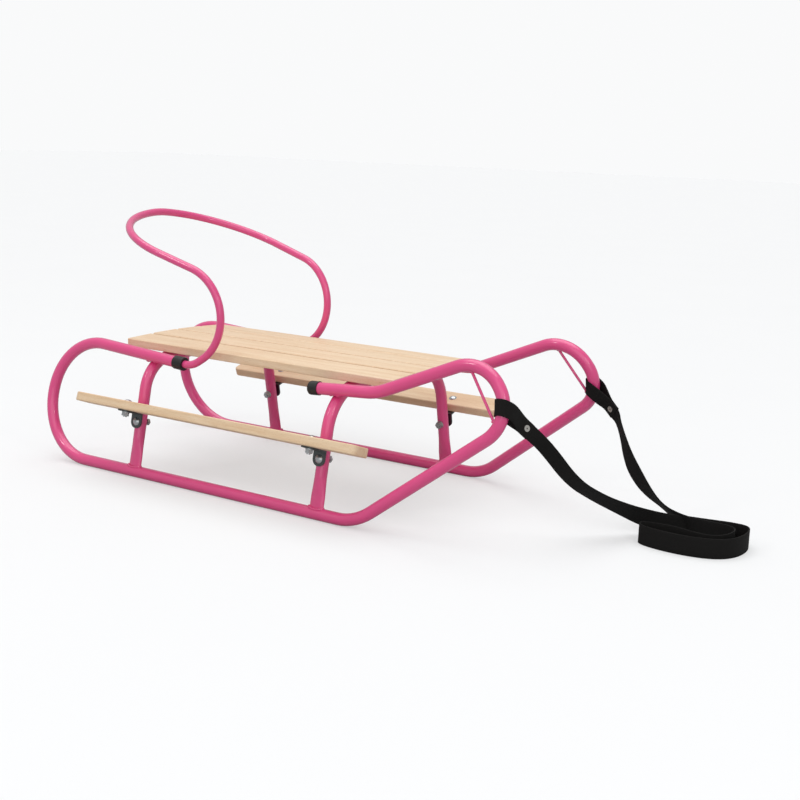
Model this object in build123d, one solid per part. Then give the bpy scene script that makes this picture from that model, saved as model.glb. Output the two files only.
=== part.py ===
"""Child's sled: two bent steel-tube runners, a slatted wooden seat, a plug-in tube backrest.

Millimetres. +X forwards, +Y to the rider's left, +Z up. The ground is z = 0, and x = 0 is
the middle of the runners' length.
"""
from build123d import *
from math import atan, atan2, cos, degrees, hypot, pi, radians, sin, sqrt, tan
import os

# Tubes
TUBE_DIA = 18.0
TUBE_WALL = 1.5
BACK_DIA = 12.0
BACK_WALL = 1.2

# Runners: gauge between the ground rails' centrelines, and how far each plane leans inwards
GAUGE = 352.0
LEAN = 12.25

# Runner outline in its own plane: (along, up), from the rear open end round to the front one
REAR_END = -119.0
REAR_END_UP = 180.0
LOOP_TOP = (-376.0, 197.0)
LOOP_FOOT = (-394.0, 0.0)
LOOP_RADIUS = 94.0
FRONT_BEND = (248.0, 0.0)
FRONT_BEND_RADIUS = 86.0
NOSE_LOW = (473.0, 176.0)
NOSE_LOW_RADIUS = 50.0
NOSE_HIGH = (415.5, 254.5)
NOSE_HIGH_RADIUS = 57.0
RAIL_DIP = (252.0, 184.0)
RAIL_DIP_RADIUS = 95.0
FRONT_END = (141.0, 176.4)

# Bows: tube hoops that stand on the ground rails and carry the seat
BOW_SPACING = 360.0
LEG_LEAN = 11.0
CROSSBAR_HEIGHT = 187.0
CROWN_SLOPE = 2.5
CROWN_RADIUS = 1500.0
FOOT_LONG = 24.0
FOOT_THIN = 9.0
FOOT_FLAT_TOP = 34.0
FOOT_ROUND_FROM = 62.0

# Seat
SLAT_COUNT = 4
SLAT_WIDTH = 53.0
SLAT_GAP = 4.5
SLAT_THICK = 13.0
SLAT_REAR = -256.0
SLAT_FRONT = 264.0
SLAT_ROUNDING = 1.6
SCREW_DIA = 4.5
SCREW_HEAD_DIA = 9.0
SCREW_HEAD_HIGH = 2.6
SCREW_BITE = 9.5

# Footrests and their brackets
BOARD_REAR = -277.0
BOARD_FRONT = 268.0
BOARD_WIDTH = 40.0
BOARD_THICK = 14.0
BOARD_TILT = 19.0
BOARD_CORNER = 9.0
BOARD_ROUNDING = 2.0
BRACKET_WIDTH = 21.0
BRACKET_THICK = 2.5
BRACKET_BOLT_HEIGHT = 86.5
EAR_RISE = 13.0
FLANGE_LENGTH = 38.0
BOLT_DIA = 6.0
BOLT_HOLE = 6.6
BOLT_HEAD_DIA = 13.0
BOLT_HEAD_HIGH = 3.0
BOLT_TAIL = 2.0
NUT_FLATS = 10.0
NUT_HIGH = 5.0
WASHER_DIA = 12.0
WASHER_THICK = 1.2

# Backrest: corners of its right-hand half, and the crown of the top bar
BACK_INSERT = 70.0
BACK_FRONT = -94.0
BACK_FRONT_RADIUS = 42.0
BACK_KNEE = (65.0, 125.0, 286.5)
BACK_KNEE_RADIUS = 76.5
BACK_CORNER = (-286.0, 153.0, 389.5)
BACK_CORNER_RADIUS = 135.0
BACK_BAR_TOP = (-297.5, 403.5)
BACK_BAR_RADIUS = 160.0

# Plastic sleeves and caps on the open rail ends
SLEEVE_DIA = 21.0
SLEEVE_LAP = 9.0
SLEEVE_COLLAR = 10.0
SLEEVE_SPIGOT = 18.0
CAP_DIA = 20.5
CAP_LAP = 13.0
CAP_END = 4.5

# Strap, its rods and rivets
ROD_DIA = 4.0
ROD_HIGH = (398.0, 233.0)
ROD_LOW = (442.0, 172.0)
WEB_WIDTH = 28.0
WEB_THICK = 1.8
RIGHT_LOOP_ANGLE = 8.0               # where each loop lies on the nose's bend
LEFT_LOOP_ANGLE = -2.0
RIGHT_PULL = (0.44, 0.61, -0.66)      # from the nose towards each free run, +Y inwards
LEFT_PULL = (0.74, 0.14, -0.66)
LOOP_PINCH = 34.0
LOOP_TAB_END = 54.0
RIVET_REACH = 45.0
RIVET_SHANK = 4.0
RIVET_HEAD_DIA = 9.0
RIVET_HEAD_HIGH = 1.2

# Clearances
SEAT_GAP = 0.1       # between parts that rest on or are welded to each other
SLIDE_GAP = 0.2      # round the backrest tube in its sleeves
HOLE_GAP = 0.2       # round screws and rivets

os.makedirs("parts", exist_ok=True)
TUBE_R = TUBE_DIA / 2
BACK_R = BACK_DIA / 2
HALF_GAUGE = GAUGE / 2
LEAN_SIN = sin(radians(LEAN))
LEAN_COS = cos(radians(LEAN))


def save(node, *solids):
    shape = solids[0] if len(solids) == 1 else Compound(children=list(solids))
    export_step(shape, f"parts/{node}.step")


def left_of(solid):
    """The left-hand twin of a right-hand piece."""
    return mirror(solid, Plane.XZ)


def arc_centre(before, corner, after, radius):
    towards_before = (before - corner).normalized()
    towards_after = (after - corner).normalized()
    half = radians(towards_before.get_angle(towards_after)) / 2
    return corner + (towards_before + towards_after).normalized() * (radius / sin(half))


def tube(path, outer, inner):
    """A round tube along a path; inner = 0 makes a solid bar."""
    start = Plane(origin=path @ 0, z_dir=path % 0)
    section = start * Circle(outer)
    if inner > 0:
        section = section - start * Circle(inner)
    return sweep(section, path=path)


# ------------------------------------------------------------------ runners
def outline_shift():
    """Centres the runners' length on x = 0."""
    rear = arc_centre(
        Vector(FRONT_BEND[0], 0), Vector(LOOP_FOOT[0], LOOP_FOOT[1]), Vector(*LOOP_TOP), LOOP_RADIUS
    )
    nose = arc_centre(Vector(*FRONT_BEND), Vector(*NOSE_LOW), Vector(*NOSE_HIGH), NOSE_LOW_RADIUS)
    return -(rear.X - LOOP_RADIUS + nose.X + NOSE_LOW_RADIUS) / 2, nose


SHIFT, NOSE_CENTRE = outline_shift()


def on_runner(along, up):
    """A point of the right-hand runner's leaning plane."""
    return Vector(along + SHIFT, -HALF_GAUGE + up * LEAN_SIN, TUBE_R + up * LEAN_COS)


REAR_RAIL_Y = on_runner(REAR_END, REAR_END_UP).Y
REAR_RAIL_END = on_runner(REAR_END, REAR_END_UP)
LOOP_TOP_POINT = Vector(on_runner(*LOOP_TOP).X, REAR_RAIL_Y, on_runner(*LOOP_TOP).Z)
REAR_RAIL_DIR = (REAR_RAIL_END - LOOP_TOP_POINT).normalized()
FRONT_RAIL_END = on_runner(*FRONT_END)
FRONT_RAIL_DIR = (FRONT_RAIL_END - on_runner(*RAIL_DIP)).normalized()


def runner_path():
    corners = [
        REAR_RAIL_END,
        LOOP_TOP_POINT,
        on_runner(*LOOP_FOOT),
        on_runner(*FRONT_BEND),
        on_runner(*NOSE_LOW),
        on_runner(*NOSE_HIGH),
        on_runner(*RAIL_DIP),
        FRONT_RAIL_END,
    ]
    radii = [
        LOOP_RADIUS,
        LOOP_RADIUS,
        FRONT_BEND_RADIUS,
        NOSE_LOW_RADIUS,
        NOSE_HIGH_RADIUS,
        RAIL_DIP_RADIUS,
    ]
    return FilletPolyline(*corners, radius=radii)


RUNNER_PATH = runner_path()
runner = tube(RUNNER_PATH, TUBE_R, TUBE_R - TUBE_WALL)
save("runner_right", runner)
save("runner_left", left_of(runner))


# ------------------------------------------------------------------ bows
def rail_height(x):
    """Centre (Y, Z) of the right-hand upper rail above a bow at x."""
    if x < 0:
        step = (x - REAR_RAIL_END.X) / REAR_RAIL_DIR.X
        centre = REAR_RAIL_END + REAR_RAIL_DIR * step
    else:
        step = (x - FRONT_RAIL_END.X) / FRONT_RAIL_DIR.X
        centre = FRONT_RAIL_END + FRONT_RAIL_DIR * step
    return Vector(centre.Y, centre.Z)


CROWN = tan(radians(CROWN_SLOPE))
CROWN_APEX = CROSSBAR_HEIGHT + CROWN_RADIUS * (1 / cos(radians(CROWN_SLOPE)) - 1)
LEG_IN = tan(radians(LEG_LEAN))


def bow_corner():
    """Where the leg's line meets the crossbar's line, as (Y, Z) on the right."""
    reach = (HALF_GAUGE - (CROWN_APEX - TUBE_R) * LEG_IN) / (1 - CROWN * LEG_IN)
    return Vector(-reach, CROWN_APEX - reach * CROWN)


def bend_radius(x):
    """The bend on whose back the upper rail lies."""
    corner = bow_corner()
    down_leg = Vector(-LEG_IN, -1).normalized()
    along_bar = Vector(1, CROWN).normalized()
    half = radians(down_leg.get_angle(along_bar)) / 2
    stretch = 1 / sin(half)
    inwards = (down_leg + along_bar).normalized()
    offset = corner - rail_height(x)
    spacing = TUBE_DIA + SEAT_GAP
    a = stretch**2 - 1
    b = 2 * (stretch * offset.dot(inwards) - spacing)
    c = offset.dot(offset) - spacing**2
    return (-b + sqrt(b * b - 4 * a * c)) / (2 * a)


def leg_point(x, height):
    """The right-hand leg's centreline at a height."""
    return Vector(x, -HALF_GAUGE + (height - TUBE_R) * LEG_IN, height)


LEG_UP = Vector(0, sin(radians(LEG_LEAN)), cos(radians(LEG_LEAN)))
LEG_OUT = Vector(0, -cos(radians(LEG_LEAN)), sin(radians(LEG_LEAN)))


def foot(x, grow):
    """The flattened foot of the right-hand leg; grow shrinks it to the tube's bore."""
    def section(height, long, thin):
        plane = Plane(origin=leg_point(x, height), x_dir=(1, 0, 0), z_dir=LEG_UP)
        return plane * Ellipse(long / 2 + grow, thin / 2 + grow)

    flat_end = section(TUBE_R, FOOT_LONG, FOOT_THIN)
    flat_top = section(FOOT_FLAT_TOP, FOOT_LONG, FOOT_THIN)
    round_top = section(FOOT_ROUND_FROM, TUBE_DIA, TUBE_DIA)
    return loft([flat_end, flat_top], ruled=True) + loft([flat_top, round_top], ruled=True)


def bow(x):
    corner = bow_corner()
    start = leg_point(x, FOOT_ROUND_FROM)
    radius = bend_radius(x)
    points = [
        start,
        Vector(x, corner.X, corner.Y),
        Vector(x, 0, CROWN_APEX),
        Vector(x, -corner.X, corner.Y),
        Vector(x, -start.Y, start.Z),
    ]
    path = FilletPolyline(*points, radius=[radius, CROWN_RADIUS, radius])
    hoop = tube(path, TUBE_R, TUBE_R - TUBE_WALL)
    right_foot = foot(x, 0) - foot(x, -TUBE_WALL)
    rail_plane = Plane(origin=(x - FOOT_LONG, -HALF_GAUGE, TUBE_R), z_dir=(1, 0, 0))
    rail_room = extrude(rail_plane * Circle(TUBE_R + SEAT_GAP), 2 * FOOT_LONG)
    right_foot = right_foot - rail_room
    below = Pos(x, -HALF_GAUGE, 0) * Box(3 * FOOT_LONG, 3 * FOOT_LONG, 2 * TUBE_R)
    right_foot = right_foot - below
    return hoop + right_foot + left_of(right_foot)


BOWS = {"rear": SHIFT - BOW_SPACING / 2, "front": SHIFT + BOW_SPACING / 2}


def leg_bolt_plane(x):
    """Origin on the leg's centreline at bolt height: x along X, y up the leg, z outwards."""
    return Plane(origin=leg_point(x, BRACKET_BOLT_HEIGHT), x_dir=(1, 0, 0), z_dir=LEG_OUT)


def leg_hole(x):
    hole = extrude(leg_bolt_plane(x) * Circle(BOLT_HOLE / 2), TUBE_DIA, both=True)
    return hole + left_of(hole)


# ------------------------------------------------------------------ seat
SLAT_PITCH = SLAT_WIDTH + SLAT_GAP


def slat_plane(index):
    """On the crossbars' tops at a slat's middle: x along X, z square to the slat."""
    y = (index - (SLAT_COUNT - 1) / 2) * SLAT_PITCH
    straight_from = CROWN_RADIUS * sin(radians(CROWN_SLOPE))
    if abs(y) < straight_from:
        slope = atan(y / sqrt(CROWN_RADIUS**2 - y * y))
        height = CROSSBAR_HEIGHT - CROWN_RADIUS + sqrt(CROWN_RADIUS**2 - y * y)
    else:
        slope = radians(CROWN_SLOPE) * (1 if y > 0 else -1)
        height = CROWN_APEX - abs(y) * CROWN
    up = Vector(0, sin(slope), cos(slope))
    return Plane(origin=Vector(0, y, height) + up * (TUBE_R + SEAT_GAP), x_dir=(1, 0, 0), z_dir=up)


def screw_places():
    return [(slat_plane(i), x) for i in range(SLAT_COUNT) for x in BOWS.values()]


def screw(plane, x):
    """Driven from below, through both walls of the crossbar and into the slat."""
    lowest = -(TUBE_DIA + 2 * SEAT_GAP)
    head = plane * (Pos(x, 0, lowest - SCREW_HEAD_HIGH / 2) * Cylinder(SCREW_HEAD_DIA / 2, SCREW_HEAD_HIGH))
    reach = SCREW_BITE - lowest
    shank = plane * (Pos(x, 0, lowest + reach / 2) * Cylinder(SCREW_DIA / 2, reach))
    return head + shank


def screw_hole(plane, x):
    """The bore, and a spot face for the head where the crossbar starts to bend down."""
    reach = TUBE_DIA + 2 * SCREW_BITE
    bore = Pos(x, 0, SCREW_BITE + HOLE_GAP - reach / 2) * Cylinder(SCREW_DIA / 2 + HOLE_GAP, reach)
    seat_top = SEAT_GAP - TUBE_DIA - 2 * SEAT_GAP
    seat = Pos(x, 0, seat_top - SCREW_HEAD_HIGH / 2) * Cylinder(SCREW_HEAD_DIA / 2 + HOLE_GAP, SCREW_HEAD_HIGH)
    return plane * (bore + seat)


screw_holes = [screw_hole(plane, x) for plane, x in screw_places()]


def slat(index):
    length = SLAT_FRONT - SLAT_REAR
    middle = SHIFT + (SLAT_FRONT + SLAT_REAR) / 2
    board = Pos(middle, 0, SLAT_THICK / 2) * Box(length, SLAT_WIDTH, SLAT_THICK)
    board = fillet(board.edges().filter_by(Axis.X), SLAT_ROUNDING)
    board = slat_plane(index) * board
    for hole in screw_holes[2 * index : 2 * index + 2]:
        board = board - hole
    return board


for index in range(SLAT_COUNT):
    save(f"seat_slat_{index + 1}", slat(index))
save("seat_screws", *[screw(plane, x) for plane, x in screw_places()])

for name, x in BOWS.items():
    hoop = bow(x) - leg_hole(x)
    for hole in screw_holes:
        hoop = hoop - hole
    save(f"bow_{name}", hoop)


# ------------------------------------------------------------------ footrests
FLANGE_RISE = radians(BOARD_TILT - LEG_LEAN)
EAR_FACE = TUBE_R + SEAT_GAP
FLANGE_OUT = (cos(FLANGE_RISE), sin(FLANGE_RISE))


def flange_plane(x):
    """On the flange's top face at the fold: x along X, y outwards up the slope, z square to it."""
    leg = leg_bolt_plane(x)
    fold = leg.origin + LEG_OUT * EAR_FACE + LEG_UP * EAR_RISE
    square = LEG_UP * FLANGE_OUT[0] - LEG_OUT * FLANGE_OUT[1]
    return Plane(origin=fold, x_dir=(-1, 0, 0), z_dir=square)


BOARD_INSET = BOARD_THICK * tan(FLANGE_RISE) + 5.0
BOARD_MIDDLE = BOARD_INSET + BOARD_WIDTH / 2


def bracket(x):
    """Folded strip: a rounded ear down the leg and a flange under the board."""
    half_bottom = BRACKET_WIDTH / 2
    ear_box = Box(BRACKET_WIDTH, EAR_RISE + half_bottom, BRACKET_THICK)
    ear = Pos(0, (EAR_RISE - half_bottom) / 2, EAR_FACE + BRACKET_THICK / 2) * ear_box
    low_corners = ear.edges().filter_by(Axis.Z).group_by(Axis.Y)[0]
    ear = leg_bolt_plane(x) * fillet(low_corners, half_bottom * 0.96)
    flange_box = Box(BRACKET_WIDTH, FLANGE_LENGTH, BRACKET_THICK)
    flange = Pos(0, FLANGE_LENGTH / 2, -BRACKET_THICK / 2) * flange_box
    outer_corners = flange.edges().filter_by(Axis.Z).group_by(Axis.Y)[-1]
    flange = flange_plane(x) * fillet(outer_corners, BRACKET_WIDTH * 0.3)
    trim_height = 2 * BRACKET_THICK
    trim = leg_bolt_plane(x) * (Pos(0, EAR_RISE + trim_height / 2, EAR_FACE) * Box(
        2 * BRACKET_WIDTH, trim_height, 3 * BRACKET_THICK
    ))
    folded = (ear + flange) - (trim - flange)
    folded = folded - extrude(leg_bolt_plane(x) * Circle(BOLT_HOLE / 2), 2 * TUBE_DIA)
    return folded - flange_plane(x) * (Pos(0, BOARD_MIDDLE, 0) * Cylinder(BOLT_HOLE / 2, 4 * BRACKET_THICK))


def footrest():
    middle = SHIFT + (BOARD_REAR + BOARD_FRONT) / 2
    board = Box(BOARD_FRONT - BOARD_REAR, BOARD_WIDTH, BOARD_THICK)
    board = fillet(board.edges().filter_by(Axis.Z), BOARD_CORNER)
    board = fillet(board.faces().filter_by(Axis.Z).edges(), BOARD_ROUNDING)
    board = Pos(0, BOARD_MIDDLE, BOARD_THICK / 2 + SEAT_GAP) * board
    for x in BOWS.values():
        board = board - Pos(middle - x, BOARD_MIDDLE, 0) * Cylinder(BOLT_HOLE / 2, 4 * BOARD_THICK)
    return flange_plane(middle) * board


def nut(low):
    """A hexagon nut from low upwards, bored for its bolt."""
    blank = extrude(Pos(0, 0, low) * RegularPolygon(NUT_FLATS / 2, 6, major_radius=False), NUT_HIGH)
    bore = Pos(0, 0, low + NUT_HIGH / 2) * Cylinder(BOLT_DIA / 2 + SEAT_GAP, 2 * NUT_HIGH)
    return blank - bore


def washer(low):
    blank = Pos(0, 0, low + WASHER_THICK / 2) * Cylinder(WASHER_DIA / 2, WASHER_THICK)
    return blank - Pos(0, 0, low) * Cylinder(BOLT_HOLE / 2, 4 * WASHER_THICK)


def bolt(seat, grip):
    """Domed head on the face at seat, shank down through the grip, washer, nut and tail."""
    sphere_r = (BOLT_HEAD_DIA**2 / 4 + BOLT_HEAD_HIGH**2) / (2 * BOLT_HEAD_HIGH)
    dome = Pos(0, 0, seat + BOLT_HEAD_HIGH - sphere_r) * Sphere(sphere_r)
    head = dome & (Pos(0, 0, seat + BOLT_HEAD_HIGH / 2 + SEAT_GAP) * Cylinder(BOLT_HEAD_DIA, BOLT_HEAD_HIGH))
    reach = grip + WASHER_THICK + NUT_HIGH + BOLT_TAIL
    shank = Pos(0, 0, seat - reach / 2 + 2 * SEAT_GAP) * Cylinder(BOLT_DIA / 2, reach)
    return head + shank


def fastener(plane, seat, grip):
    """Bolt, washer and nut of one joint, placed on its plane."""
    washer_low = seat - grip - SEAT_GAP - WASHER_THICK
    pieces = (bolt(seat, grip), washer(washer_low), nut(washer_low - SEAT_GAP - NUT_HIGH))
    return [plane * piece for piece in pieces]


board_fixings = []
leg_fixings = []
for name, x in BOWS.items():
    right = bracket(x)
    save(f"bracket_{name}_right", right)
    save(f"bracket_{name}_left", left_of(right))
    board_plane = flange_plane(x) * Pos(0, BOARD_MIDDLE, 0)
    board_fixings.append(fastener(board_plane, BOARD_THICK + SEAT_GAP, BOARD_THICK + BRACKET_THICK + SEAT_GAP))
    leg_fixings.append(
        fastener(leg_bolt_plane(x), EAR_FACE + BRACKET_THICK, EAR_FACE + BRACKET_THICK + TUBE_R)
    )

board = footrest()
save("footrest_right", board)
save("footrest_left", left_of(board))
for prefix, fixings in (("footrest", board_fixings), ("leg", leg_fixings)):
    for kind, pieces in zip(("bolts", "washers", "nuts"), zip(*fixings)):
        save(f"{prefix}_{kind}", *pieces, *[left_of(piece) for piece in pieces])


# ------------------------------------------------------------------ sleeves and caps
def sleeve():
    """Fits over the rail's rear end and narrows it down to the backrest's tube."""
    plane = Plane(origin=REAR_RAIL_END, z_dir=REAR_RAIL_DIR)
    length = SLEEVE_LAP + SLEEVE_COLLAR
    body = Pos(0, 0, length / 2 - SLEEVE_LAP) * Cylinder(SLEEVE_DIA / 2, length)
    body = fillet(body.edges(), 1.0)
    socket = Pos(0, 0, SEAT_GAP - SLEEVE_LAP) * Cylinder(TUBE_R + SEAT_GAP, 2 * SLEEVE_LAP)
    spigot_r = TUBE_R - TUBE_WALL - SEAT_GAP
    spigot = Pos(0, 0, -SLEEVE_SPIGOT / 2 + SEAT_GAP) * Cylinder(spigot_r, SLEEVE_SPIGOT)
    bore = Cylinder(BACK_R + SLIDE_GAP, 4 * length)
    return plane * ((body - socket) + spigot - bore)


def cap():
    """Closed dome pushed over the rail's front end."""
    plane = Plane(origin=FRONT_RAIL_END, z_dir=FRONT_RAIL_DIR)
    length = CAP_LAP + CAP_END
    body = Pos(0, 0, length / 2 - CAP_LAP) * Cylinder(CAP_DIA / 2, length)
    body = fillet(body.edges().group_by(Axis.Z)[-1], CAP_END * 0.8)
    socket = Pos(0, 0, SEAT_GAP - CAP_LAP) * Cylinder(TUBE_R + SEAT_GAP, 2 * CAP_LAP)
    return plane * (body - socket)


for node, piece in (("sleeve", sleeve()), ("cap", cap())):
    save(f"{node}_right", piece)
    save(f"{node}_left", left_of(piece))


# ------------------------------------------------------------------ backrest
def backrest_path():
    front_step = (BACK_FRONT + SHIFT - REAR_RAIL_END.X) / REAR_RAIL_DIR.X
    half = [
        REAR_RAIL_END - REAR_RAIL_DIR * BACK_INSERT,
        REAR_RAIL_END + REAR_RAIL_DIR * front_step,
        Vector(BACK_KNEE[0] + SHIFT, -BACK_KNEE[1], BACK_KNEE[2]),
        Vector(BACK_CORNER[0] + SHIFT, -BACK_CORNER[1], BACK_CORNER[2]),
    ]
    other_half = [Vector(point.X, -point.Y, point.Z) for point in reversed(half)]
    crown = Vector(BACK_BAR_TOP[0] + SHIFT, 0, BACK_BAR_TOP[1])
    half_radii = [BACK_FRONT_RADIUS, BACK_KNEE_RADIUS, BACK_CORNER_RADIUS]
    return FilletPolyline(
        *half, crown, *other_half, radius=[*half_radii, BACK_BAR_RADIUS, *reversed(half_radii)]
    )


save("backrest", tube(backrest_path(), BACK_R, BACK_R - BACK_WALL))


# ------------------------------------------------------------------ strap
def rod_line(dia):
    return tube(Line(on_runner(*ROD_HIGH), on_runner(*ROD_LOW)), dia / 2, 0)


def strap_rod():
    """Welded across the nose; the strap's loop stays between it and the bend."""
    return rod_line(ROD_DIA) - tube(RUNNER_PATH, TUBE_R + SEAT_GAP, 0)


rod = strap_rod()
save("strap_rod_right", rod)
save("strap_rod_left", left_of(rod))

def loop_plane(angle, pull):
    """On the right-hand nose: x along the pull, z across the webbing."""
    pull = Vector(*pull).normalized()
    tangent = nose_direction(angle + 90)
    across = (tangent - pull * tangent.dot(pull)).normalized()
    middle = on_runner(NOSE_CENTRE.X, NOSE_CENTRE.Y) + nose_direction(angle) * NOSE_LOW_RADIUS
    return Plane(origin=middle, x_dir=pull, z_dir=across)


def nose_direction(angle):
    return on_runner(cos(radians(angle)), sin(radians(angle))) - on_runner(0, 0)


def strap_loop(angle, plane):
    """The strap's end, wrapped round the nose and laid back on itself at the rivet."""
    tangent = nose_direction(angle + 90)
    inwards = -nose_direction(angle)
    square = tangent.dot(plane.z_dir)
    drift = abs(tangent.dot(plane.x_dir)) / square * WEB_WIDTH / 2 + TUBE_R * (1 / square - 1)
    sag = WEB_WIDTH**2 / (5 * NOSE_LOW_RADIUS) / square**2
    back = (inwards.dot(plane.x_dir) * sag, inwards.dot(plane.y_dir) * sag)
    middles = [(-drift, 0), (drift, 0), (back[0] - drift, back[1]), (back[0] + drift, back[1])]
    inner_r = TUBE_R + 5 * SEAT_GAP
    inner_rounds = [Pos(*middle) * Circle(inner_r) for middle in middles]
    outer_rounds = [Pos(*middle) * Circle(inner_r + WEB_THICK) for middle in middles]
    pinch = Pos(LOOP_PINCH, 0) * Circle(SEAT_GAP)
    outer_pinch = Pos(LOOP_PINCH, 0) * Circle(WEB_THICK)
    inner = make_hull([edge for face in (*inner_rounds, pinch) for edge in face.edges()])
    outer = make_hull([edge for face in (*outer_rounds, outer_pinch) for edge in face.edges()])
    tab = Pos((LOOP_PINCH + LOOP_TAB_END) / 2, 0) * Rectangle(LOOP_TAB_END - LOOP_PINCH, 2 * WEB_THICK)
    band = extrude((outer + tab) - inner, WEB_WIDTH / 2, both=True)
    hole = Pos(RIVET_REACH, 0, 0) * Rot(90, 0, 0) * Cylinder(RIVET_SHANK / 2 + HOLE_GAP, TUBE_DIA)
    loop = plane * (band - hole) - tube(RUNNER_PATH, TUBE_R + 2 * SEAT_GAP, 0) - rod_line(1.5 * ROD_DIA)
    return loop.solids().sort_by(SortBy.VOLUME)[-1]


def rivet(plane):
    """Tubular rivet with a rolled head on each face of the strap."""
    reach = 2 * WEB_THICK + 2 * SEAT_GAP
    body = Cylinder(RIVET_SHANK / 2, reach + 2 * RIVET_HEAD_HIGH)
    for side in (-1, 1):
        place = side * (reach + RIVET_HEAD_HIGH) / 2
        body = body + Pos(0, 0, place) * Cylinder(RIVET_HEAD_DIA / 2, RIVET_HEAD_HIGH)
    body = body - Cylinder(RIVET_SHANK / 4, 4 * reach)
    return plane * (Pos(RIVET_REACH, 0, 0) * Rot(90, 0, 0) * body)


right_loop_plane = loop_plane(RIGHT_LOOP_ANGLE, RIGHT_PULL)
left_loop_plane = loop_plane(LEFT_LOOP_ANGLE, LEFT_PULL)
save("strap_loop_right", strap_loop(RIGHT_LOOP_ANGLE, right_loop_plane))
save("strap_loop_left", left_of(strap_loop(LEFT_LOOP_ANGLE, left_loop_plane)))
save("strap_rivets", rivet(right_loop_plane), left_of(rivet(left_loop_plane)))

# Routes of the two free runs, from each loop's tab to the coil that lies on the ground
RUN_DIA = sqrt(4 * WEB_WIDTH * WEB_THICK / pi)


def tab_end(plane, lift, side):
    """A point in line with a loop's tab, lift past its end; side is 1 for the right-hand one."""
    point = plane.origin + plane.x_dir * (LOOP_TAB_END + lift)
    return Vector(point.X, point.Y * side, point.Z)


RIGHT_ROUTE = [
    tab_end(right_loop_plane, 0, 1),
    tab_end(right_loop_plane, 36, 1),
    Vector(482, -43, 90),
    Vector(503, -6, 62),
    Vector(524, 29, 43),
    Vector(544, 63, 26),
    Vector(565, 92, 15),
    Vector(590, 103, 14),
]
LEFT_ROUTE = [
    tab_end(left_loop_plane, 0, -1),
    tab_end(left_loop_plane, 18, -1),
    Vector(482, 125, 119),
    Vector(491, 123, 97),
    Vector(505, 121, 75),
    Vector(522, 119, 53),
    Vector(544, 117, 34),
    Vector(569, 112, 20),
    Vector(592, 111, 15),
]

# The coil: the doubled middle of the strap, standing on its edge
COIL_OUTLINE = [
    (542, 12), (606, 6), (654, 9), (690, 40), (693, 96), (673, 124), (626, 122), (572, 117), (545, 60)
]


def coil():
    corners = [Vector(x, y, 0) for x, y in COIL_OUTLINE]
    outline = FilletPolyline(*corners, radius=8, close=True)
    return extrude(make_face(outline), WEB_WIDTH)


def bend_radii(route):
    radii = []
    for before, corner, after in zip(route, route[1:], route[2:]):
        turn = radians((corner - before).get_angle(after - corner))
        shorter = min((corner - before).length, (after - corner).length)
        radii.append(0.45 * shorter / tan(turn / 2))
    return radii


def strap_run(route, stop):
    radii = bend_radii(route)
    path = FilletPolyline(*route, radius=radii)
    run = tube(path, RUN_DIA / 2, 0)
    print("strap run", round(path.length), "mm, radii", [round(radius) for radius in radii])
    print("  volume", round(run.volume), "of", round(path.length * pi * RUN_DIA**2 / 4))
    return (run - stop).solids().sort_by(SortBy.VOLUME)[-1]


strap_coil = coil()
save("strap_coil", strap_coil)
save("strap_run_right", strap_run(RIGHT_ROUTE, strap_coil))
save("strap_run_left", strap_run(LEFT_ROUTE, strap_coil))
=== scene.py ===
import math
import bmesh
import bpy
from mathutils import Matrix, Vector


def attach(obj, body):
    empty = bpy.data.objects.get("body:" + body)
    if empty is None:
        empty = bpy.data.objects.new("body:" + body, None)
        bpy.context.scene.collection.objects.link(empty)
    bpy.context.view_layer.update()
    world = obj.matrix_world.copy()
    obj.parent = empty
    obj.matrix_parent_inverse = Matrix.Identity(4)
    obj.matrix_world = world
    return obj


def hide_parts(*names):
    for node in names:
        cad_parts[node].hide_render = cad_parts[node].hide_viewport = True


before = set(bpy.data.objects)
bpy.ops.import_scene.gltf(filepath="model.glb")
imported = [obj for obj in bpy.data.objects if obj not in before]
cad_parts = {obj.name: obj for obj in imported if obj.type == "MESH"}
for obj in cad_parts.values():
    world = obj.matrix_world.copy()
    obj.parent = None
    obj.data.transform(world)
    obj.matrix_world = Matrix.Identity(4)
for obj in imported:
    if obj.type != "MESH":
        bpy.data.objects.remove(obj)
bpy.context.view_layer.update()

scene = bpy.context.scene
mm = 0.001

# a Mix node repeats its socket names, so its colour sockets go by number
colourA, colourB, colourOut = 6, 7, 2


def linearColour(hexText):
    # sRGB hex to the linear values that shaders work in
    channels = [int(hexText[i:i + 2], 16) / 255 for i in (0, 2, 4)]
    linear = [c / 12.92 if c <= 0.04045 else ((c + 0.055) / 1.055) ** 2.4 for c in channels]
    return (*linear, 1.0)


def newMaterial(name):
    material = bpy.data.materials.new(name)
    material.use_nodes = True
    tree = material.node_tree
    tree.nodes.clear()
    return material, tree


def addNode(tree, kind, settings=None, links=None):
    # links: input name or number -> value, or (node, output name or number)
    node = tree.nodes.new(kind)
    for key, value in (settings or {}).items():
        setattr(node, key, value)
    for key, value in (links or {}).items():
        if isinstance(value, tuple) and len(value) == 2 and isinstance(value[0], bpy.types.Node):
            tree.links.new(value[0].outputs[value[1]], node.inputs[key])
        else:
            node.inputs[key].default_value = value
    return node


def paint(obj, material):
    obj.data.materials.clear()
    obj.data.materials.append(material)


def meshObject(name, bm, material):
    mesh = bpy.data.meshes.new(name)
    bm.to_mesh(mesh)
    bm.free()
    for polygon in mesh.polygons:
        polygon.use_smooth = True
    obj = bpy.data.objects.new(name, mesh)
    scene.collection.objects.link(obj)
    paint(obj, material)
    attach(obj, "sled")
    return obj


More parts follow.
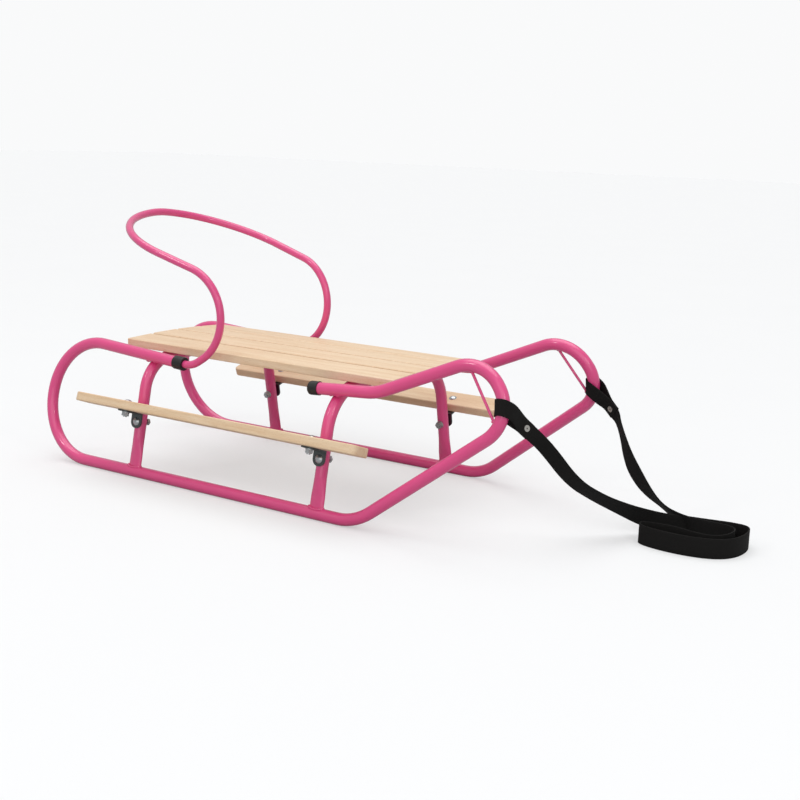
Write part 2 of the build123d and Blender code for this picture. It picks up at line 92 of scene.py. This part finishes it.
# the camera stands in front of the sled and to its right, and looks slightly down
camera = {
    "place": (1.2218, -1.5946, 0.5408),
    "azimuth": 33.5,
    "elevation": 11.52,
    "roll": 1.98,
    "lens": 58.23,
    "sensor": 36.0,
    "clip": (0.05, 60),
}


def placeCamera():
    turn = math.radians(camera["azimuth"])
    rise = math.radians(camera["elevation"])
    roll = math.radians(camera["roll"])
    level = math.cos(rise)
    back = Vector((math.sin(turn) * level, -math.cos(turn) * level, math.sin(rise)))
    right = (-back).cross(Vector((0, 0, 1))).normalized()
    up = right.cross(-back)
    rolledRight = right * math.cos(roll) + up * math.sin(roll)
    rolledUp = up * math.cos(roll) - right * math.sin(roll)
    data = bpy.data.cameras.new("camera")
    data.lens = camera["lens"]
    data.sensor_width = camera["sensor"]
    data.clip_start, data.clip_end = camera["clip"]
    cam = bpy.data.objects.new("camera", data)
    turnMatrix = Matrix((rolledRight, rolledUp, back)).transposed().to_4x4()
    cam.matrix_world = Matrix.Translation(camera["place"]) @ turnMatrix
    scene.collection.objects.link(cam)
    scene.camera = cam


placeCamera()
print("camera placed")


tubeCoat = {
    "shades": ("E04383", "E64888"),
    "mottle": 45 * mm,
    "peel": 2.5 * mm,
    "peelDepth": 0.05 * mm,
    "roughness": 0.32,
    "clearLayer": 0.8,
    "clearRoughness": 0.1,
}


def powderCoat():
    # gloss powder coat on steel tube: deep pink, sharp highlights, faint orange peel
    material, tree = newMaterial("glossPowderCoat")
    coords = addNode(tree, "ShaderNodeTexCoord")
    mottle = addNode(tree, "ShaderNodeTexNoise", None, {
        "Vector": (coords, "Object"), "Scale": 1 / tubeCoat["mottle"], "Detail": 2.0})
    tone = addNode(tree, "ShaderNodeMix", {"data_type": "RGBA"}, {
        "Factor": (mottle, "Fac"), colourA: linearColour(tubeCoat["shades"][0]),
        colourB: linearColour(tubeCoat["shades"][1])})
    peel = addNode(tree, "ShaderNodeTexNoise", None, {
        "Vector": (coords, "Object"), "Scale": 1 / tubeCoat["peel"], "Detail": 1.0})
    relief = addNode(tree, "ShaderNodeBump", None, {
        "Strength": 0.06, "Distance": tubeCoat["peelDepth"], "Height": (peel, "Fac")})
    shader = addNode(tree, "ShaderNodeBsdfPrincipled", None, {
        "Base Color": (tone, colourOut), "Roughness": tubeCoat["roughness"], "IOR": 1.5,
        "Coat Weight": tubeCoat["clearLayer"], "Coat Roughness": tubeCoat["clearRoughness"],
        "Normal": (relief, "Normal")})
    addNode(tree, "ShaderNodeOutputMaterial", None, {"Surface": (shader, "BSDF")})
    return material


# widths across the grain; a stretch of 0.05 makes the figure 20 times as long along it
beech = {
    "ring": 9 * mm,
    "fibre": 0.9 * mm,
    "fibreColour": "D9B98F",
    "fleck": 1.3 * mm,
    "fleckColour": "B98A5C",
    "knotSpacing": 46 * mm,
    "knotColour": "8A5A34",
    "grainStretch": 0.05,
    "fleckStretch": 0.22,
    "reliefDepth": 0.12 * mm,
    "roughness": 0.55,
}


def planedBeech(name, light, dark, shift):
    # planed beech, grain along the board: pale, fine dark flecks, broad soft rings, small knots
    material, tree = newMaterial(name)
    coords = addNode(tree, "ShaderNodeTexCoord")
    grain = addNode(tree, "ShaderNodeMapping", None, {
        "Vector": (coords, "Object"), "Location": shift,
        "Scale": (beech["grainStretch"], 1.0, 1.0)})
    rings = addNode(tree, "ShaderNodeTexNoise", None, {
        "Vector": (grain, "Vector"), "Scale": 1 / beech["ring"], "Detail": 4.0,
        "Distortion": 0.6})
    fibres = addNode(tree, "ShaderNodeTexNoise", None, {
        "Vector": (grain, "Vector"), "Scale": 1 / beech["fibre"], "Detail": 3.0})
    fleckMap = addNode(tree, "ShaderNodeMapping", None, {
        "Vector": (coords, "Object"), "Location": shift,
        "Scale": (beech["fleckStretch"], 1.0, 1.0)})
    flecks = addNode(tree, "ShaderNodeTexVoronoi", None, {
        "Vector": (fleckMap, "Vector"), "Scale": 1 / beech["fleck"]})
    fleckMask = addNode(tree, "ShaderNodeMapRange", None, {
        "Value": (flecks, "Distance"), "From Min": 0.1, "From Max": 0.3,
        "To Min": 1.0, "To Max": 0.0})
    ringTone = addNode(tree, "ShaderNodeMapRange", None, {
        "Value": (rings, "Fac"), "From Min": 0.3, "From Max": 0.7})
    base = addNode(tree, "ShaderNodeMix", {"data_type": "RGBA"}, {
        "Factor": (ringTone, "Result"), colourA: linearColour(light), colourB: linearColour(dark)})
    fibreTone = addNode(tree, "ShaderNodeMapRange", None, {
        "Value": (fibres, "Fac"), "From Min": 0.3, "From Max": 0.75,
        "To Min": 0.0, "To Max": 0.3})
    streaked = addNode(tree, "ShaderNodeMix", {"data_type": "RGBA", "blend_type": "MULTIPLY"}, {
        "Factor": (fibreTone, "Result"), colourA: (base, colourOut),
        colourB: linearColour(beech["fibreColour"])})
    fleckAmount = addNode(tree, "ShaderNodeMath", {"operation": "MULTIPLY"}, {
        0: (fleckMask, "Result"), 1: 0.28})
    flecked = addNode(tree, "ShaderNodeMix", {"data_type": "RGBA", "blend_type": "MULTIPLY"}, {
        "Factor": (fleckAmount, "Value"), colourA: (streaked, colourOut),
        colourB: linearColour(beech["fleckColour"])})
    knots = addNode(tree, "ShaderNodeTexVoronoi", None, {
        "Vector": (fleckMap, "Vector"), "Scale": 1 / beech["knotSpacing"]})
    knotMask = addNode(tree, "ShaderNodeMapRange", None, {
        "Value": (knots, "Distance"), "From Min": 0.03, "From Max": 0.07,
        "To Min": 0.45, "To Max": 0.0})
    knotted = addNode(tree, "ShaderNodeMix", {"data_type": "RGBA", "blend_type": "MULTIPLY"}, {
        "Factor": (knotMask, "Result"), colourA: (flecked, colourOut),
        colourB: linearColour(beech["knotColour"])})
    relief = addNode(tree, "ShaderNodeBump", None, {
        "Strength": 0.25, "Distance": beech["reliefDepth"], "Height": (fibres, "Fac")})
    shader = addNode(tree, "ShaderNodeBsdfPrincipled", None, {
        "Base Color": (knotted, colourOut), "Roughness": beech["roughness"], "IOR": 1.5,
        "Normal": (relief, "Normal")})
    addNode(tree, "ShaderNodeOutputMaterial", None, {"Surface": (shader, "BSDF")})
    return material


plating = {
    "cloud": 4 * mm,
    "reliefDepth": 0.05 * mm,
    "smoother": 0.08,  # how far the roughness falls below and rises above its middle
    "rougher": 0.12,
}


def platedSteel(name, colour, roughness):
    # zinc or nickel electroplated on steel: grey metal with a slightly uneven polish
    material, tree = newMaterial(name)
    coords = addNode(tree, "ShaderNodeTexCoord")
    cloud = addNode(tree, "ShaderNodeTexNoise", None, {
        "Vector": (coords, "Object"), "Scale": 1 / plating["cloud"], "Detail": 3.0})
    rough = addNode(tree, "ShaderNodeMapRange", None, {
        "Value": (cloud, "Fac"), "To Min": roughness - plating["smoother"],
        "To Max": roughness + plating["rougher"]})
    relief = addNode(tree, "ShaderNodeBump", None, {
        "Strength": 0.1, "Distance": plating["reliefDepth"], "Height": (cloud, "Fac")})
    shader = addNode(tree, "ShaderNodeBsdfPrincipled", None, {
        "Base Color": linearColour(colour), "Metallic": 1.0, "Roughness": (rough, "Result"),
        "Normal": (relief, "Normal")})
    addNode(tree, "ShaderNodeOutputMaterial", None, {"Surface": (shader, "BSDF")})
    return material


moulding = {
    "colour": "141414",
    "grit": 0.6 * mm,
    "gritDepth": 0.04 * mm,
    "roughness": (0.34, 0.48),
}


def mouldedPlastic():
    # injection-moulded polyethylene: black, satin, fine spark-erosion grain
    material, tree = newMaterial("mouldedPolyethylene")
    coords = addNode(tree, "ShaderNodeTexCoord")
    grit = addNode(tree, "ShaderNodeTexNoise", None, {
        "Vector": (coords, "Object"), "Scale": 1 / moulding["grit"], "Detail": 2.0})
    relief = addNode(tree, "ShaderNodeBump", None, {
        "Strength": 0.2, "Distance": moulding["gritDepth"], "Height": (grit, "Fac")})
    rough = addNode(tree, "ShaderNodeMapRange", None, {
        "Value": (grit, "Fac"), "To Min": moulding["roughness"][0],
        "To Max": moulding["roughness"][1]})
    shader = addNode(tree, "ShaderNodeBsdfPrincipled", None, {
        "Base Color": linearColour(moulding["colour"]), "Roughness": (rough, "Result"),
        "IOR": 1.5, "Normal": (relief, "Normal")})
    addNode(tree, "ShaderNodeOutputMaterial", None, {"Surface": (shader, "BSDF")})
    return material


weaving = {
    "ribSpacing": 1.6 * mm,
    "yarnSpacing": 1.2 * mm,
    "fuzz": 3 * mm,
    "shades": ("0E0D0C", "1B1918"),
    "fuzzColour": "D8D4D0",
    "reliefDepth": 0.25 * mm,
    "roughness": 0.85,
    "gloss": 0.25,
}


def waveScale(spacing):
    # a wave texture at scale 1 repeats every 2 pi / 20
    return 2 * math.pi / (20 * spacing)


def wovenWebbing():
    # woven polypropylene webbing: nearly black and dull, crosswise ribs over lengthwise yarns
    material, tree = newMaterial("wovenPolypropylene")
    coords = addNode(tree, "ShaderNodeUVMap", {"uv_map": "weave"})
    ribs = addNode(tree, "ShaderNodeTexWave", {"wave_type": "BANDS", "bands_direction": "Y"}, {
        "Vector": (coords, "UV"), "Scale": waveScale(weaving["ribSpacing"]), "Distortion": 0.0})
    yarns = addNode(tree, "ShaderNodeTexWave", {"wave_type": "BANDS", "bands_direction": "X"}, {
        "Vector": (coords, "UV"), "Scale": waveScale(weaving["yarnSpacing"]), "Distortion": 0.0})
    weave = addNode(tree, "ShaderNodeMath", {"operation": "MULTIPLY"}, {
        0: (ribs, "Fac"), 1: (yarns, "Fac")})
    fuzz = addNode(tree, "ShaderNodeTexNoise", None, {
        "Vector": (coords, "UV"), "Scale": 1 / weaving["fuzz"], "Detail": 4.0})
    tone = addNode(tree, "ShaderNodeMix", {"data_type": "RGBA"}, {
        "Factor": (weave, "Value"), colourA: linearColour(weaving["shades"][0]),
        colourB: linearColour(weaving["shades"][1])})
    cloudy = addNode(tree, "ShaderNodeMix", {"data_type": "RGBA", "blend_type": "MULTIPLY"}, {
        "Factor": (fuzz, "Fac"), colourA: (tone, colourOut),
        colourB: linearColour(weaving["fuzzColour"])})
    relief = addNode(tree, "ShaderNodeBump", None, {
        "Strength": 0.5, "Distance": weaving["reliefDepth"], "Height": (weave, "Value")})
    shader = addNode(tree, "ShaderNodeBsdfPrincipled", None, {
        "Base Color": (cloudy, colourOut), "Roughness": weaving["roughness"],
        "Specular IOR Level": weaving["gloss"], "Normal": (relief, "Normal")})
    addNode(tree, "ShaderNodeOutputMaterial", None, {"Surface": (shader, "BSDF")})
    return material


coat = powderCoat()
seatWood = planedBeech("planedBeech", "F2DCC0", "E6C8A4", (0.0, 0.0, 0.0))
restWood = planedBeech("planedBeechFootrest", "EED6B6", "E0C09A", (0.4, 0.13, 0.07))
bracketSteel = platedSteel("zincStrip", "5C6060", 0.40)
boltSteel = platedSteel("zincFastener", "B9BCBE", 0.28)
rivetSteel = platedSteel("nickelRivet", "C9C6C0", 0.22)
plastic = mouldedPlastic()
webbing = wovenWebbing()

# each finish, and the frame's nodes that have it
finishes = [
    (coat, ["runner_right", "runner_left", "bow_rear", "bow_front", "backrest",
            "strap_rod_right", "strap_rod_left"]),
    (seatWood, ["seat_slat_1", "seat_slat_2", "seat_slat_3", "seat_slat_4"]),
    (restWood, ["footrest_right", "footrest_left"]),
    (bracketSteel, ["bracket_rear_right", "bracket_rear_left",
                    "bracket_front_right", "bracket_front_left"]),
    (boltSteel, ["seat_screws", "footrest_bolts", "footrest_nuts", "footrest_washers",
                 "leg_bolts", "leg_nuts", "leg_washers"]),
    (plastic, ["sleeve_right", "sleeve_left", "cap_right", "cap_left"]),
    (rivetSteel, ["strap_rivets"]),
]
for finish, nodeNames in finishes:
    for nodeName in nodeNames:
        paint(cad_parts[nodeName], finish)
print("materials on", sum(len(nodeNames) for finish, nodeNames in finishes), "nodes")


# the pull strap: one length of webbing, its middle coiled on the ground
upright = (0, 0, 1)
strap = {
    "width": 28 * mm,
    "thick": 1.8 * mm,
    "strips": 4,       # faces across the width
    "edgeRound": 0.3,  # the edge's rounding, a share of the thickness
    "edgeSegments": 2,
    "edgeAngle": 60,
    # control points, mm; the way that the width points at each; the share of the full
    # width there, less than 1 where the webbing is creased
    "route": [
        ((438.8, -107.7, 167.4), (0.14, 0.68, 0.72), 0.8),
        ((444, -100.5, 160), (0.14, 0.68, 0.72), 0.8),
        ((458, -80, 138), (0.75, 0.05, 0.60), 0.8),
        ((481, -44, 88), (0.88, -0.17, 0.44), 0.9),
        ((503, -6, 62), (0.85, -0.25, 0.45), 1),
        ((524, 29, 43), (0.72, -0.25, 0.65), 1),
        ((544, 63, 26), (0.35, -0.1, 0.93), 1),
        ((565, 92, 15), upright, 1),
        ((590, 104, 14.2), upright, 1),
        ((620, 109, 14.2), upright, 1),
        ((654, 117, 14.2), upright, 1),
        ((680, 114, 14.2), upright, 1),
        ((688, 80, 14.2), upright, 1),
        ((683, 44, 14.2), upright, 1),
        ((664, 22, 14.2), upright, 1),
        ((630, 12, 14.2), upright, 1),
        ((590, 12, 14.2), upright, 1),
        ((556, 20, 14.2), upright, 1),
        ((549, 36, 14.2), upright, 1),
        ((562, 42, 14.2), upright, 1),
        ((598, 46, 14.2), upright, 1),
        ((636, 34, 14.2), upright, 1),
        ((662, 42, 14.2), upright, 1),
        ((672, 72, 14.2), upright, 1),
        ((664, 98, 14.2), upright, 1),
        ((636, 101, 14.2), upright, 1),
        ((606, 98, 15), upright, 1),
        ((580, 106, 19), (0.10, -0.5, 0.85), 1),
        ((552, 114, 31), (0.30, -0.86, 0.40), 1),
        ((521, 118, 51), (0.70, -0.55, 0.48), 1),
        ((500, 120, 75), (0.78, -0.40, 0.48), 1),
        ((487, 122, 97), (0.72, -0.52, 0.46), 0.9),
        ((477, 125, 120), (0.60, -0.68, 0.42), 0.8),
        ((467, 128, 141), (0.50, -0.70, 0.50), 0.8),
        ((460, 129.5, 152.5), (0.58, -0.36, 0.73), 0.8),
        ((452.8, 130.7, 159), (0.58, -0.36, 0.73), 0.8),
    ],
}


def splineObject(name, points):
    # a NURBS line whose control points are the given points
    curve = bpy.data.curves.new(name, "CURVE")
    curve.dimensions = "3D"
    curve.resolution_u = 12
    spline = curve.splines.new("NURBS")
    spline.points.add(len(points) - 1)
    for point, place in zip(spline.points, points):
        point.co = (*place, 1.0)
    spline.order_u = 3
    spline.use_endpoint_u = True
    obj = bpy.data.objects.new(name, curve)
    scene.collection.objects.link(obj)
    return obj


def linePoints(points):
    # the points along that NURBS line, as Blender makes them
    guide = splineObject("guide", points)
    bpy.context.view_layer.update()
    mesh = bpy.data.meshes.new_from_object(guide)
    found = [v.co.copy() for v in mesh.vertices]
    curve = guide.data
    bpy.data.objects.remove(guide)
    bpy.data.curves.remove(curve)
    bpy.data.meshes.remove(mesh)
    return found


def ribbon(name, line, widths):
    # a row of edges across the webbing, extruded along the line and then given its thickness
    bm = bmesh.new()
    uvLayer = bm.loops.layers.uv.new("weave")
    along = bm.verts.layers.float.new("along")
    across = bm.verts.layers.float.new("across")
    strips, width = strap["strips"], strap["width"]
    verts = []
    run = 0.0
    for i, place in enumerate(line):
        ahead = (line[min(i + 1, len(line) - 1)] - line[max(i - 1, 0)]).normalized()
        side = widths[i] - ahead * widths[i].dot(ahead)
        side = side.normalized() * widths[i].length
        if i:
            run += (place - line[i - 1]).length
        row = [place + side * width * (k / strips - 0.5) for k in range(strips + 1)]
        if not verts:
            verts = [bm.verts.new(p) for p in row]
            edges = [bm.edges.new(pair) for pair in zip(verts, verts[1:])]
        else:
            # the extruded vertices lie on the old ones, so each is found by its place
            grown = bmesh.ops.extrude_edge_only(bm, edges=edges)["geom"]
            edges = [g for g in grown if isinstance(g, bmesh.types.BMEdge)]
            fresh = [g for g in grown if isinstance(g, bmesh.types.BMVert)]
            lookup = {tuple(round(c, 7) for c in v.co): v for v in fresh}
            verts = [lookup[tuple(round(c, 7) for c in v.co)] for v in verts]
            for v, p in zip(verts, row):
                v.co = p
        for k, v in enumerate(verts):
            v[along] = run
            v[across] = width * k / strips
    for face in bm.faces:
        for loop in face.loops:
            loop[uvLayer].uv = (loop.vert[across], loop.vert[along])
    bmesh.ops.recalc_face_normals(bm, faces=bm.faces)
    obj = meshObject(name, bm, webbing)
    wall = obj.modifiers.new("thickness", "SOLIDIFY")
    wall.thickness = strap["thick"]
    wall.offset = 0
    edge = obj.modifiers.new("softEdge", "BEVEL")
    edge.width = strap["thick"] * strap["edgeRound"]
    edge.segments = strap["edgeSegments"]
    edge.limit_method = "ANGLE"
    edge.angle_limit = math.radians(strap["edgeAngle"])
    return obj, run


def routeStrip(name, route):
    line = linePoints([Vector(place) * mm for place, across, share in route])
    hints = linePoints([Vector(across).normalized() * share for place, across, share in route])
    return (*ribbon(name, line, hints), line)


strapPiece, strapLength, strapLine = routeStrip("pull_strap", strap["route"])
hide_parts("strap_run_right", "strap_run_left", "strap_coil")
print("strap", round(strapLength, 3), "m")


# the strap's two ends: each goes round its nose and is riveted back on itself
noseLoops = {
    "strap_loop_right": {
        "centre": (419.0, -135.2, 197.1),
        "tangent": (-0.139, 0.210, 0.968),
        "pull": (0.440, 0.610, -0.660),
        "across": (0.137, 0.680, 0.720),
    },
    "strap_loop_left": {
        "centre": (419.5, 137.0, 188.6),
        "tangent": (0.035, -0.212, 0.977),
        "pull": (0.739, -0.140, -0.659),
        "across": (0.581, -0.364, 0.728),
    },
}

# how each loop lies on its tube
loopFit = {
    "tube": 9 * mm,
    "clearance": 0.5 * mm,
    "tab": 54 * mm,    # from the tube's middle to the loop's end
    "rivet": 45 * mm,  # and to its rivet
    "layer": 0.53,     # half the distance between its two layers, in thicknesses
    "share": 0.8,      # of the full width, since it is creased
    # shares of the rivet's distance
    "closed": 0.8,     # the layers lie together to here,
    "opening": 0.55,   # are apart by the same share of the wrap here,
    "turned": 0.22,    # and from here in the width runs along the tube
}


def loopRoute(loop):
    # from the tab in to the tube, round its back, and out again to the tab
    centre = Vector(loop["centre"]) * mm
    tangent = Vector(loop["tangent"]).normalized()
    pull = Vector(loop["pull"]).normalized()
    across = Vector(loop["across"]).normalized()
    ahead = (pull - tangent * pull.dot(tangent)).normalized()
    side = tangent.cross(ahead)
    wrap = loopFit["tube"] + loopFit["clearance"] + strap["thick"] / 2
    layer = strap["thick"] * loopFit["layer"]
    rivet, opening = loopFit["rivet"], loopFit["opening"]
    half = [(centre + pull * reach + side * layer, across)
            for reach in (loopFit["tab"], rivet, rivet * loopFit["closed"])]
    half += [
        (centre + pull * rivet * opening + side * wrap * opening, (across + tangent).normalized()),
        (centre + pull * rivet * loopFit["turned"] + side * wrap, tangent),
        (centre - ahead * wrap + side * wrap, tangent),
    ]
    back = [(place - side * 2 * side.dot(place - centre), width) for place, width in reversed(half)]
    return [(tuple(place / mm), width, loopFit["share"]) for place, width in half + back]


for loopName, loop in noseLoops.items():
    loopPiece, loopLength, loopLine = routeStrip(loopName + "_webbing", loopRoute(loop))
    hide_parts(loopName)
    print(loopName, round(loopLength, 3), "m")


# weld beads: rows of small overlapping drops; mm, on the right-hand side
welds = {
    "drop": 2.0,
    "tube": 9.0,
    # round each bow's flattened foot, where it stands on the ground rail
    "bows": (-214.5, 145.5),
    "railY": 176.0,
    "foot": (24.0, 9.0),
    "footGap": (0.4, 0.6),
    "footLift": 0.2,
    "footDrops": 30,
    # on both sides of each bow, under its upper rail
    "upperRails": ((-214.5, -137.8, 188.8), (145.5, -138.0, 184.0)),
    "aside": 6.5,
    "inward": 2.5,
    "swings": range(-30, 31, 10),
    # round the ends of the thin rod
    "rodEnds": ((363.5, -126.6, 236.7), (407.5, -139.5, 177.1)),
    "rodDrops": ((1.6, 0.6), (-1.6, -0.6), (0.6, 1.6)),
}


def weldPlaces():
    places = []
    tube = welds["tube"]
    footX, footY = (size / 2 + gap for size, gap in zip(welds["foot"], welds["footGap"]))
    for bowX in welds["bows"]:
        for k in range(welds["footDrops"]):
            turn = 2 * math.pi * k / welds["footDrops"]
            acrossY = footY * math.sin(turn)
            height = tube + math.sqrt((tube + welds["footLift"]) ** 2 - acrossY ** 2)
            places.append((bowX + footX * math.cos(turn), -welds["railY"] + acrossY, height))
    for x, y, z in welds["upperRails"]:
        for side in (-1, 1):
            for swing in map(math.radians, welds["swings"]):
                places.append((x + side * welds["aside"],
                               y + tube * math.sin(swing) + welds["inward"],
                               z - tube * math.cos(swing)))
    for x, y, z in welds["rodEnds"]:
        for dx, dz in welds["rodDrops"]:
            places.append((x + dx, y, z + dz))
    return places


for sideName, mirror in (("right", 1), ("left", -1)):
    bm = bmesh.new()
    for x, y, z in weldPlaces():
        bmesh.ops.create_icosphere(bm, subdivisions=2, radius=welds["drop"] * mm,
                                   matrix=Matrix.Translation(Vector((x, y * mirror, z)) * mm))
    meshObject("weld_beads_" + sideName, bm, coat)
print("welds")


studio = {
    "floorHalf": 20,
    "floorShades": ("B4B5B6", "B6B7B8"),
    "floorCloud": 3.0,  # clouds in a metre
    "floorRoughness": 0.9,
    "floorGlow": 0.44,
    "backdropColour": (0.99, 0.995, 1.0, 1.0),
    "backdropSeen": 0.96,
    "backdropLighting": 0.52,
}


def studioPaint():
    # matt white paint: a glow that only the camera sees keeps the shadows on it pale
    material, tree = newMaterial("studioFloor")
    coords = addNode(tree, "ShaderNodeTexCoord")
    cloud = addNode(tree, "ShaderNodeTexNoise", None, {
        "Vector": (coords, "Object"), "Scale": studio["floorCloud"]})
    tone = addNode(tree, "ShaderNodeMix", {"data_type": "RGBA"}, {
        "Factor": (cloud, "Fac"), colourA: linearColour(studio["floorShades"][0]),
        colourB: linearColour(studio["floorShades"][1])})
    ray = addNode(tree, "ShaderNodeLightPath")
    glowing = addNode(tree, "ShaderNodeMath", {"operation": "MULTIPLY"}, {
        0: (ray, "Is Camera Ray"), 1: studio["floorGlow"]})
    shader = addNode(tree, "ShaderNodeBsdfPrincipled", None, {
        "Base Color": (tone, colourOut), "Roughness": studio["floorRoughness"],
        "Specular IOR Level": 0.0, "Emission Color": (1, 1, 1, 1),
        "Emission Strength": (glowing, "Value")})
    addNode(tree, "ShaderNodeOutputMaterial", None, {"Surface": (shader, "BSDF")})
    return material


def makeFloor():
    bm = bmesh.new()
    bmesh.ops.create_grid(bm, x_segments=2, y_segments=2, size=studio["floorHalf"])
    mesh = bpy.data.meshes.new("floor")
    bm.to_mesh(mesh)
    bm.free()
    floor = bpy.data.objects.new("floor", mesh)
    scene.collection.objects.link(floor)
    floor.data.materials.append(studioPaint())


def studioWorld():
    # the backdrop is seen brighter than it lights the sled
    world = bpy.data.worlds.new("studioWorld")
    scene.world = world
    world.use_nodes = True
    tree = world.node_tree
    tree.nodes.clear()
    ray = addNode(tree, "ShaderNodeLightPath")
    strength = addNode(tree, "ShaderNodeMapRange", None, {
        "Value": (ray, "Is Camera Ray"), "To Min": studio["backdropLighting"],
        "To Max": studio["backdropSeen"]})
    glow = addNode(tree, "ShaderNodeBackground", None, {
        "Color": studio["backdropColour"], "Strength": (strength, "Result")})
    addNode(tree, "ShaderNodeOutputWorld", None, {"Surface": (glow, "Background")})


# a sun has a spread in degrees, a softbox a size in metres
lights = {
    "overhead": {"kind": "SUN", "place": (-0.4, 0.3, 3.0), "target": (0, 0, 0),
                 "power": 1.5, "spread": 60},
    "front": {"kind": "SUN", "place": (1.2, -2.0, 1.1), "target": (0, 0, 0),
              "power": 0.6, "spread": 60},
    "keySoftbox": {"kind": "AREA", "place": (-1.2, -2.2, 2.2), "target": (0, 0, 0.1),
                   "power": 8, "size": (0.3, 0.8)},
    "fillSoftbox": {"kind": "AREA", "place": (2.4, -1.0, 1.6), "target": (0.1, 0, 0.1),
                    "power": 5, "size": (0.3, 0.8)},
}


def hangLight(name, light):
    data = bpy.data.lights.new(name, light["kind"])
    data.energy = light["power"]
    if light["kind"] == "SUN":
        data.angle = math.radians(light["spread"])
    else:
        data.shape = "RECTANGLE"
        data.size, data.size_y = light["size"]
    lamp = bpy.data.objects.new(name, data)
    aim = Vector(light["target"]) - Vector(light["place"])
    turn = aim.to_track_quat("-Z", "Y").to_matrix().to_4x4()
    lamp.matrix_world = Matrix.Translation(light["place"]) @ turn
    scene.collection.objects.link(lamp)


makeFloor()
studioWorld()
for lightName, light in lights.items():
    hangLight(lightName, light)
scene.view_settings.view_transform = "Standard"
print("stage set")
